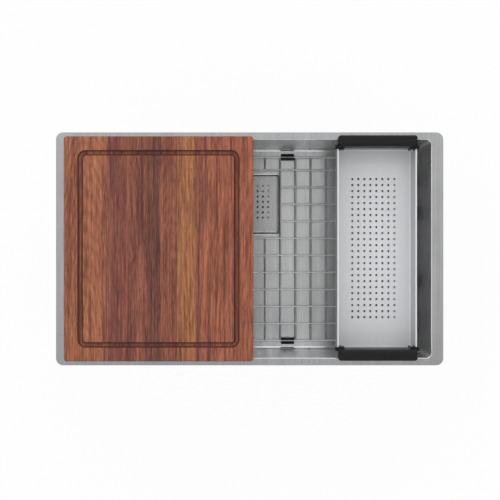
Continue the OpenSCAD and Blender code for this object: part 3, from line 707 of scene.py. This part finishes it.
def soften(node, name, body, material, edge, shortest=0.0, above=-1.0):
    """Replace a node by a copy of it whose sharp edges are rounded to this radius.

    Only edges longer than shortest, with their middle above a height, are rounded.
    """
    form = bmesh.new()
    form.from_mesh(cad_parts[node].data)
    bmesh.ops.remove_doubles(form, verts=form.verts, dist=MERGE)
    bmesh.ops.dissolve_degenerate(form, edges=form.edges, dist=MERGE / 2)
    bmesh.ops.dissolve_limit(
        form, angle_limit=math.radians(0.4), verts=form.verts, edges=form.edges
    )
    weight = form.edges.layers.float.new("bevel_weight_edge")
    for line in form.edges:
        middle = (line.verts[0].co + line.verts[1].co) / 2
        line.smooth = line.calc_face_angle(0) < SHARP
        if not line.smooth and line.calc_length() > shortest and middle.z > above:
            line[weight] = 1
    mesh = rounded(form, "softened", edge, limit_method="WEIGHT")
    keep(name, mesh, body, material, [node])


def node_shape(name, *sockets):
    """Start a Geometry Nodes tree with named inputs; return it with its input node's outputs."""
    tree = bpy.data.node_groups.new(name, "GeometryNodeTree")
    tree.interface.new_socket("Geometry", in_out="OUTPUT", socket_type="NodeSocketGeometry")
    for label, kind in (("Geometry", "Geometry"), *sockets, ("Material", "Material")):
        tree.interface.new_socket(label, in_out="INPUT", socket_type="NodeSocket" + kind)
    return tree, add(tree, "NodeGroupInput").outputs


def grown(base, tree, values):
    """Run a Geometry Nodes tree on a base mesh and return the plain mesh that it makes."""
    work = holder_of(base)
    modifier = work.modifiers.new(tree.name, "NODES")
    modifier.node_group = tree
    for item in tree.interface.items_tree:
        if item.in_out == "INPUT" and item.name in values:
            modifier[item.identifier] = values[item.name]
    return applied(work)


def close_tree(tree, given, *shapes):
    """End a tree: join its shapes, make their instances real and set the material."""
    joined = add(tree, "GeometryNodeJoinGeometry")
    for shape in shapes:
        tree.links.new(shape.outputs[0], joined.inputs[0])
    real = add(tree, "GeometryNodeRealizeInstances", {"Geometry": joined})
    coated = add(tree, "GeometryNodeSetMaterial", {
        "Geometry": real, "Material": given["Material"],
    })
    add(tree, "NodeGroupOutput", {0: coated})
    return tree


def wire_tree():
    """Edges become wires with domed ends, and loose points become weld beads."""
    tree, given = node_shape(
        "Welded wires", ("Wire Radius", "Float"), ("Sides", "Int"), ("Weld Size", "Vector")
    )
    ends = add(tree, "GeometryNodeInputMeshVertexNeighbors").outputs["Vertex Count"]
    loose = add(tree, "FunctionNodeCompare", {2: ends, 3: 0}, data_type="INT", operation="EQUAL")
    parted = add(tree, "GeometryNodeSeparateGeometry", {
        "Geometry": given["Geometry"], "Selection": loose,
    }, domain="POINT").outputs
    ring = add(tree, "GeometryNodeCurvePrimitiveCircle", {
        "Resolution": given["Sides"], "Radius": given["Wire Radius"],
    })
    tubes = add(tree, "GeometryNodeCurveToMesh", {
        "Curve": add(tree, "GeometryNodeMeshToCurve", {"Mesh": parted["Inverted"]}),
        "Profile Curve": ring, "Fill Caps": True,
    })

    # A wire's wall is of four-sided faces, and its cut ends stay flat
    corners = add(tree, "GeometryNodeInputMeshFaceNeighbors").outputs["Vertex Count"]
    wall = add(tree, "FunctionNodeCompare", {
        2: corners, 3: 5,
    }, data_type="INT", operation="LESS_THAN")
    shapes = [add(tree, "GeometryNodeSetShadeSmooth", {"Geometry": tubes, "Shade Smooth": wall})]
    ball = add(tree, "GeometryNodeMeshUVSphere", {
        "Segments": given["Sides"], "Rings": 8, "Radius": given["Wire Radius"],
    })
    drop = add(tree, "GeometryNodeMeshUVSphere", {"Segments": 14, "Rings": 8, "Radius": 0.5})
    for points, piece, size in (
        ("Inverted", ball, (1.0, 1.0, 1.0)), ("Selection", drop, given["Weld Size"]),
    ):
        beads = add(tree, "GeometryNodeInstanceOnPoints", {
            "Points": parted[points], "Instance": piece, "Scale": size,
        })
        real = add(tree, "GeometryNodeRealizeInstances", {"Geometry": beads})
        shapes.append(add(tree, "GeometryNodeSetShadeSmooth", {"Geometry": real}))
    return close_tree(tree, given, *shapes)


def copies_tree():
    """A piece is set on each point, turned about Z by the point's own angle."""
    tree, given = node_shape("Set pieces", ("Piece", "Object"))
    source = add(tree, "GeometryNodeObjectInfo", {"Object": given["Piece"]})
    turn = add(tree, "GeometryNodeInputNamedAttribute", {"Name": "turn"}, data_type="FLOAT")
    set_out = add(tree, "GeometryNodeInstanceOnPoints", {
        "Points": given["Geometry"], "Instance": source.outputs["Geometry"],
        "Rotation": add(tree, "ShaderNodeCombineXYZ", {"Z": turn}),
    })
    return close_tree(tree, given, set_out)


def thread_tree():
    """A spiral ridge round the Z axis, standing on height zero."""
    tree, given = node_shape(
        "Thread", ("Radius", "Float"), ("Turns", "Float"), ("Rise", "Float"), ("Ridge", "Float")
    )
    spiral = add(tree, "GeometryNodeCurveSpiral", {
        "Resolution": 72, "Rotations": given["Turns"], "Start Radius": given["Radius"],
        "End Radius": given["Radius"], "Height": given["Rise"],
    })
    section = add(tree, "GeometryNodeCurvePrimitiveCircle", {
        "Resolution": 4, "Radius": given["Ridge"],
    })
    ridge = add(tree, "GeometryNodeCurveToMesh", {
        "Curve": spiral, "Profile Curve": section, "Fill Caps": True,
    })
    return close_tree(tree, given, ridge)


def points_mesh(rows):
    """A mesh of loose points, each with the angle in which its piece is turned."""
    mesh = bpy.data.meshes.new("places")
    mesh.from_pydata([row[:3] for row in rows], [], [])
    turn = mesh.attributes.new("turn", "FLOAT", "POINT")
    for value, row in zip(turn.data, rows):
        value.value = row[3]
    return mesh


# ---------------- operators


def black_rubber(context):
    """The finish of the bumpers, feet, washers and stopper."""
    return finish("Black moulded rubber", moulded, context.scene.sink_colours.rubber,
                  rough=0.5, grit=0.5 * MM, depth=0.04 * MM)


def bright_wire(context):
    """The finish of the grid's wires and the colander's screws."""
    return finish("Electropolished wire", drawn_wire, context.scene.sink_colours.wire)


class SINK_OT_bowl(bpy.types.Operator):
    """Finish the bowl and its flange."""

    bl_idname = "sink.bowl"
    bl_label = "Bowl"

    def execute(self, context):
        # Painted light: the bowl's walls and deep floor are made lighter than its flange, and its
        # folds, lips and corners get a painted highlight
        dress(finish(
            "Brushed stainless sheet", brushed_sheet, context.scene.sink_colours.sheet,
            rough=0.22, wall_rough=0.3, metal=0.92, wall_tone=1.2, contrast=0.16,
            floor_tone=1.2, corner_dull=0.6,
        ), "bowl")
        return {"FINISHED"}


class SINK_OT_pads(bpy.types.Operator):
    """Mould the sound pads with soft edges."""

    bl_idname = "sink.pads"
    bl_label = "Sound Pads"

    def execute(self, context):
        butyl = finish("Moulded butyl pad", moulded, context.scene.sink_colours.pad,
                       rough=0.72, grit=1.6 * MM, depth=0.25 * MM)
        edge = context.scene.sink_sizes.rubber_edge * 2
        for side in ("bottom_left", "bottom_right", "front", "rear", "left", "right"):
            soften("pad_" + side, "sound_pad_" + side, "sink", butyl, edge)
        return {"FINISHED"}


class SINK_OT_drain(bpy.types.Operator):
    """Finish the strainer, thread it, and round the edges of its washers and nuts."""

    bl_idname = "sink.drain"
    bl_label = "Drain"

    def execute(self, context):
        colours = context.scene.sink_colours
        sizes = context.scene.sink_sizes
        steel = finish("Buffed stainless pressing", turned_steel, colours.polished)
        dress(steel, "strainer_body", "basket_cup", "basket_post")
        dress(finish("Chromed brass tube", chromed_tube, colours.tube), "tailpiece")
        rubber = black_rubber(context)
        casting = finish("Plated zinc casting", plated_casting, colours.casting)
        fibre = finish("Pressed fibre", pressed_fibre, colours.fibre)
        white = finish("White polythene", moulded, colours.washer, rough=0.4, grit=0.8 * MM,
                       depth=0.02 * MM, dust=0.2, bright=0.9)
        for node, end, slot, material, edge, shortest in (
            ("sealing_ring", "_soft", "black_rubber", rubber, 0.3 * MM, 0.0),
            ("rubber_washer", "_soft", "black_rubber", rubber, sizes.rubber_edge, 0.0),
            ("friction_ring", "_cut", "fibre", fibre, 0.15 * MM, 0.0),
            ("tailpiece_washer", "_soft", "white_plastic", white, 0.4 * MM, 0.0),
            ("lock_nut", "_cast", "cast_nut", casting, sizes.nut_edge, 3 * MM),
            ("coupling_nut", "_cast", "cast_nut", casting, sizes.nut_edge, 0.0),
        ):
            soften(node, node + end, "sink", material, edge, shortest)
        soften("basket_stopper", "basket_stopper_soft", "strainer_basket",
               rubber, sizes.rubber_edge)
        self.thread(steel, sizes)
        return {"FINISHED"}

    def thread(self, steel, sizes):
        """Wind the thread round the shank, below the nut."""
        middle, _ = extent("strainer_body")
        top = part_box("lock_nut")[0].z
        shank = (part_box("friction_ring")[1].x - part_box("friction_ring")[0].x) / 2
        if shank < SHANK_R:
            raise RuntimeError("the fibre ring is smaller than the shank")
        mesh = grown(bpy.data.meshes.new("empty"), thread_tree(), {
            "Radius": SHANK_R, "Turns": THREAD_LENGTH / sizes.thread_pitch,
            "Rise": THREAD_LENGTH, "Ridge": sizes.thread_h, "Material": steel,
        })
        mesh.transform(Matrix.Translation(
            (middle.x, middle.y, top - THREAD_LENGTH - THREAD_GAP)
        ))
        keep("strainer_thread", mesh, "sink", steel)


class SINK_OT_cover(bpy.types.Operator):
    """Finish the drain cover and its feet."""

    bl_idname = "sink.cover"
    bl_label = "Drain Cover"

    def execute(self, context):
        # Painted shade: the cover's sides and its faces towards front and rear are darker; the
        # sheet's painted highlight falls on its rounded edges and corners
        dress(finish(
            "Satin stainless cover", brushed_sheet, context.scene.sink_colours.cover,
            rough=0.28, wall_rough=0.2, metal=0.8, wall_tone=0.8, contrast=0.02,
            end_tone=0.6, depth=0.01 * MM,
        ), "cover_plate")
        soften("cover_feet", "cover_feet_soft", "drain_cover",
               black_rubber(context), context.scene.sink_sizes.rubber_edge)
        return {"FINISHED"}


class SINK_OT_grid(bpy.types.Operator):
    """Weld the bottom grid of wires on its rim."""

    bl_idname = "sink.grid"
    bl_label = "Bottom Grid"

    def execute(self, context):
        sizes = context.scene.sink_sizes
        wire = bright_wire(context)
        dress(wire, "grid_frame", "grid_legs")
        verts, edges, welds = [], [], []
        long_rows = self.rods("grid_long_wires", 0)
        cross_rows = self.rods("grid_cross_wires", 1)
        for low, high in long_rows + cross_rows:
            edges.append((len(verts), len(verts) + 1))
            verts += [low, high]
        for low, high in long_rows:
            for start, stop in cross_rows:
                if low.x - WIRE <= start.x <= high.x + WIRE and \
                        start.y - WIRE <= low.y <= stop.y + WIRE:
                    welds.append((start.x, low.y, (low.z + start.z) / 2))
            for end, side in ((low, -1), (high, 1)):
                if abs(end.x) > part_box("grid_frame")[1].x - RIM:
                    welds.append((end.x - side * END_WELD, end.y, end.z - WIRE / 2))
        mesh = bpy.data.meshes.new("centre lines")
        mesh.from_pydata(verts + welds, edges, [])
        mesh = grown(mesh, wire_tree(), {
            "Wire Radius": WIRE / 2, "Sides": sizes.wire_sides,
            "Weld Size": (sizes.weld_w, sizes.weld_w, sizes.weld_h), "Material": wire,
        })
        keep("grid_wires_welded", mesh, "bottom_grid", wire,
             ["grid_long_wires", "grid_cross_wires"])
        soften("grid_feet", "grid_feet_soft", "bottom_grid",
               black_rubber(context), sizes.rubber_edge)
        return {"FINISHED"}

    def rods(self, node, axis):
        """Find each rod of a node and return the ends of its centre line."""
        form = bmesh.new()
        form.from_mesh(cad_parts[node].data)
        bmesh.ops.remove_doubles(form, verts=form.verts, dist=MERGE)
        found = []
        left = set(form.verts)
        while left:
            group, queue = [], [left.pop()]
            while queue:
                vert = queue.pop()
                group.append(vert.co.copy())
                for edge in vert.link_edges:
                    other = edge.other_vert(vert)
                    if other in left:
                        left.remove(other)
                        queue.append(other)
            low = Vector(min(p[i] for p in group) for i in range(3))
            high = Vector(max(p[i] for p in group) for i in range(3))
            middle = (low + high) / 2
            start, stop = middle.copy(), middle.copy()
            start[axis], stop[axis] = low[axis], high[axis]
            found.append((start, stop))
        form.free()
        return sorted(found, key=lambda rod: tuple(round(c, 5) for c in rod[0]))


class SINK_OT_bumpers(bpy.types.Operator):
    """Clip the split rubber bumpers on the grid's rim."""

    bl_idname = "sink.bumpers"
    bl_label = "Bumpers"

    def execute(self, context):
        rubber = black_rubber(context)
        diameter = extent("bumpers_front")[1].y
        sleeve = holder_of(self.sleeve(context.scene.sink_sizes, diameter), "bumper sleeve")
        places = []
        for node, turn in (("bumpers_front", math.pi), ("bumpers_rear", 0)):
            low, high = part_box(node)
            middle, size = extent(node)
            half = size.z * BUMPER_LONG / 2
            places += [(x, middle.y, middle.z, turn) for x in (low.x + half, high.x - half)]
        low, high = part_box("bumpers_sides")
        middle, size = extent("bumpers_sides")
        half = diameter * BUMPER_LONG / 2
        places += [
            (x, y, middle.z, turn)
            for x, turn in ((low.x + size.z / 2, math.pi / 2), (high.x - size.z / 2, -math.pi / 2))
            for y in (low.y + half, high.y - half)
        ]
        mesh = grown(points_mesh(places), copies_tree(), {"Piece": sleeve, "Material": rubber})
        bpy.data.objects.remove(sleeve)
        keep("bumpers_clipped", mesh, "bottom_grid", rubber,
             ["bumpers_front", "bumpers_rear", "bumpers_sides"])
        return {"FINISHED"}

    def sleeve(self, sizes, diameter):
        """One sleeve along X, with a slot along its top; its +Y side, to the wall, is fuller."""
        outer, inner = diameter / 2, RIM / 2 + 0.05 * MM
        half_length = diameter * BUMPER_LONG / 2
        section = []
        for radius, steps in ((outer, range(BUMPER_STEPS + 1)),
                              (inner, range(BUMPER_STEPS, -1, -1))):
            gap = math.asin(sizes.bumper_slot / 2 / radius)
            for i in steps:
                angle = math.pi / 2 + gap + (2 * math.pi - 2 * gap) * i / BUMPER_STEPS
                y, z = radius * math.cos(angle), radius * math.sin(angle)
                if radius == outer and y > 0:
                    y *= sizes.bumper_bulge
                section.append((y, z))
        form = bmesh.new()
        near, far = (
            [form.verts.new((end * (half_length + max(-y, 0) * BUMPER_LEAN), y, z))
             for y, z in section] for end in (-1, 1)
        )
        form.faces.new(near)
        form.faces.new(far)
        for i in range(len(section)):
            j = (i + 1) % len(section)
            form.faces.new((near[i], near[j], far[j], far[i]))
        bmesh.ops.recalc_face_normals(form, faces=form.faces)
        return rounded(form, "sleeve", sizes.bumper_edge, limit_method="ANGLE",
                       angle_limit=BUMPER_SHARP)


class SINK_OT_colander(bpy.types.Operator):
    """Finish the colander's tray, its handles and their screws."""

    bl_idname = "sink.colander"
    bl_label = "Colander"

    def execute(self, context):
        colours = context.scene.sink_colours
        # Painted shade: the tray's walls and its faces towards front and rear are darker than its
        # floor; the sheet's painted highlight falls on its corners
        dress(finish(
            "Satin stainless tray", brushed_sheet, colours.tray,
            rough=0.36, wall_rough=0.4, metal=0.45, wall_tone=0.6, contrast=0.018,
            end_tone=0.5, grain=1.1 * MM, depth=0.006 * MM,
        ), "colander_tray")
        nylon = finish("Black moulded nylon", moulded, colours.nylon,
                       rough=0.44, grit=0.7 * MM, depth=0.035 * MM, mirror=0.25)
        for end in ("rear", "front"):
            soften("colander_handle_" + end, "handle_moulded_" + end, "colander",
                   nylon, context.scene.sink_sizes.nylon_edge,
                   shortest=20 * MM, above=16 * MM)
        dress(bright_wire(context), "colander_screws")
        return {"FINISHED"}


class SINK_OT_board(bpy.types.Operator):
    """Finish the cutting board."""

    bl_idname = "sink.board"
    bl_label = "Cutting Board"

    def execute(self, context):
        dress(finish("Oiled hardwood staves", staved_hardwood), "cutting_board")
        return {"FINISHED"}


class SINK_OT_studio(bpy.types.Operator):
    """Set the floor, the softboxes, the sky and the camera."""

    bl_idname = "sink.studio"
    bl_label = "Studio"

    def execute(self, context):
        studio = context.scene.sink_studio
        self.floor()
        self.sky(context.scene)
        for name, at, size, glow in (
            ("Overhead softbox", (0, 0.5, 3.6), (3.0, 2.1), studio.overhead),
            ("Rear softbox", (0, 2.0, 2.2), (4.0, 2.8), studio.rear),
            ("Front softbox", (0, -2.0, 2.2), (4.0, 2.8), studio.front),
            ("Left softbox", (-2.2, 0, 2.0), (2.5, 1.9), studio.left),
            ("Right softbox", (2.2, 0, 2.0), (1.6, 1.2), studio.right),
            ("Low strip", (0, 2.6, 0.95), (3.0, 1.3), studio.low),
        ):
            self.softbox(name, at, size, glow)
        lens = bpy.data.cameras.new("Camera")
        lens.lens = studio.lens
        lens.sensor_width = 36
        lens.clip_end = 30
        camera = bpy.data.objects.new("Camera", lens)
        camera.location = studio.camera_at
        context.scene.collection.objects.link(camera)
        context.scene.camera = camera
        context.scene.view_settings.view_transform = "Standard"
        return {"FINISHED"}

    def seen(self, tree):
        """One where the camera, a reflection or a clear body looks, else nought."""
        path = add(tree, "ShaderNodeLightPath").outputs
        look = path["Is Camera Ray"]
        for ray in ("Is Glossy Ray", "Is Transmission Ray"):
            look = add(tree, "ShaderNodeMath", {0: look, 1: path[ray]}, operation="MAXIMUM")
        return look

    def floor(self):
        """Lay a plain pale floor under the tailpiece."""
        level = CAD_BOX[0][2]
        mesh = bpy.data.meshes.new("floor")
        mesh.from_pydata(
            [(x * FLOOR_HALF, y * FLOOR_HALF, level)
             for x, y in ((-1, -1), (1, -1), (1, 1), (-1, 1))],
            [], [(0, 1, 2, 3)],
        )
        floor = holder_of(mesh, "floor")
        made = bpy.data.materials.new("White studio floor")
        tree = emptied(made)
        matt = add(tree, "ShaderNodeBsdfDiffuse", {"Color": (0.86, 0.86, 0.86, 1)})
        glow = add(tree, "ShaderNodeEmission", {"Color": (1, 1, 1, 1), "Strength": 1.0})
        share = add(tree, "ShaderNodeMath", {0: self.seen(tree), 1: 0.95}, operation="MULTIPLY")
        mixed = add(tree, "ShaderNodeMixShader", {0: share, 1: matt, 2: glow})
        add(tree, "ShaderNodeOutputMaterial", {"Surface": mixed})
        mesh.materials.append(made)

    def sky(self, scene):
        """A white room that is darker overhead, behind the softboxes."""
        world = bpy.data.worlds.new("Studio")
        scene.world = world
        tree = emptied(world)
        where = add(tree, "ShaderNodeTexCoord").outputs["Generated"]
        up = add(tree, "ShaderNodeSeparateXYZ", {"Vector": where}).outputs["Z"]
        room = add(tree, "ShaderNodeMapRange", {0: up, 1: 0.0, 2: 0.45, 3: 1.0, 4: 0.3})
        light = add(tree, "ShaderNodeMix", {
            0: self.seen(tree), 2: 0.45, 3: room,
        }, data_type="FLOAT")
        glow = add(tree, "ShaderNodeBackground", {"Color": (1, 1, 1, 1), "Strength": light})
        add(tree, "ShaderNodeOutputWorld", {"Surface": glow})

    def softbox(self, name, at, size, glow):
        """Hang a softbox that faces the sink; glow is its radiance."""
        lamp = bpy.data.lights.new(name, "AREA")
        lamp.shape = "RECTANGLE"
        lamp.size, lamp.size_y = size
        lamp.energy = glow * math.pi * size[0] * size[1]
        box = bpy.data.objects.new(name, lamp)
        box.location = at
        box.rotation_euler = Vector(at).to_track_quat("Z", "Y").to_euler()
        box.visible_camera = False
        bpy.context.scene.collection.objects.link(box)


class SINK_PT_panel(bpy.types.Panel):
    """Lists what the add-on builds."""

    bl_label = "Kitchen Sink"
    bl_idname = "SINK_PT_panel"
    bl_space_type = "VIEW_3D"
    bl_region_type = "UI"
    bl_category = "Sink"

    def draw(self, context):
        layout = self.layout
        for group in GROUPS:
            box = layout.box()
            settings = getattr(context.scene, group)
            for name in settings.__annotations__:
                box.prop(settings, name)
        for step in STEPS:
            layout.operator(step.bl_idname)


STEPS = (
    SINK_OT_studio, SINK_OT_bowl, SINK_OT_pads, SINK_OT_drain, SINK_OT_cover, SINK_OT_grid,
    SINK_OT_bumpers, SINK_OT_colander, SINK_OT_board,
)
GROUPS = {"sink_sizes": SinkSizes, "sink_colours": SinkColours, "sink_studio": StudioSettings}
CLASSES = (*GROUPS.values(), *STEPS, SINK_PT_panel)


def register():
    """Register the classes and give the scene its settings."""
    for group in CLASSES:
        bpy.utils.register_class(group)
    for name, group in GROUPS.items():
        setattr(bpy.types.Scene, name, PointerProperty(type=group))


def unregister():
    """Take the settings and the classes away again."""
    for name in GROUPS:
        delattr(bpy.types.Scene, name)
    for group in reversed(CLASSES):
        bpy.utils.unregister_class(group)


def main():
    """Build everything in order."""
    register()
    for step in STEPS:
        area, name = step.bl_idname.split(".")
        getattr(getattr(bpy.ops, area), name)()


if __name__ == "__main__":
    main()
